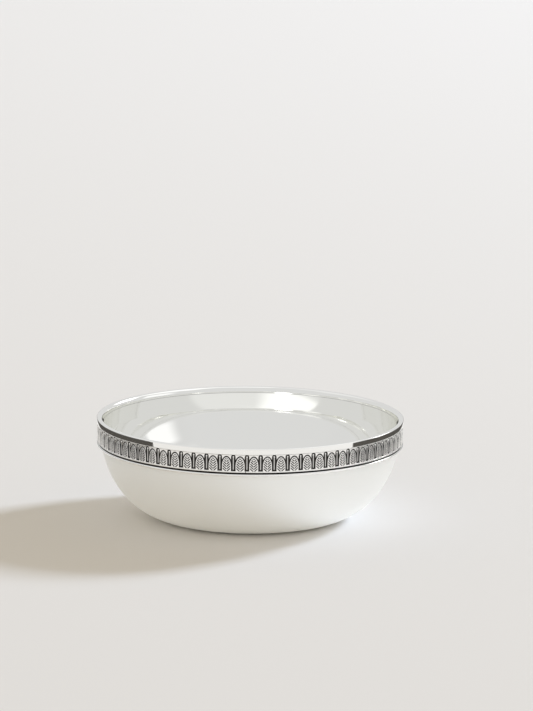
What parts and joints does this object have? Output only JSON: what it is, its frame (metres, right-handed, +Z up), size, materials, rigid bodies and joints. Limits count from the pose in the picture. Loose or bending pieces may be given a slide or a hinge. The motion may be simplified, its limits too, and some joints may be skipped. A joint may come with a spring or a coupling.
{
  "type": "offering bowl",
  "caption": "Low round metal bowl with mirror-polished sides that curve in to a flat base, under an applied border of plain rim, leaf-and-dart frieze and half-round wire.",
  "frame": {"origin": "centre of the base on the surface that the bowl stands on", "axes": "+Z up along the bowl's axis of symmetry, -Y the side that faces the viewer, where the frieze strip's butt joint is"},
  "size_m": [0.13, 0.13, 0.0424],
  "materials": {
    "polished_silver": "spun and mirror polished, with fine hairline scratches",
    "moulding_silver": "drawn moulding wire, mirror polished",
    "oxidised_silver": "rolled relief, darkened in the hollows and polished on the high points",
    "silver_solder": "dull tarnished solder"
  },
  "bodies": {
    "root": {"bowl_shell": "polished_silver", "rim_moulding": "moulding_silver", "frieze_strip": "oxidised_silver", "frieze_seam": "silver_solder", "half_round_wire": "moulding_silver", "rim_solder": "silver_solder", "frieze_solder": "silver_solder", "wire_solder": "silver_solder"}
  },
  "joints": []
}
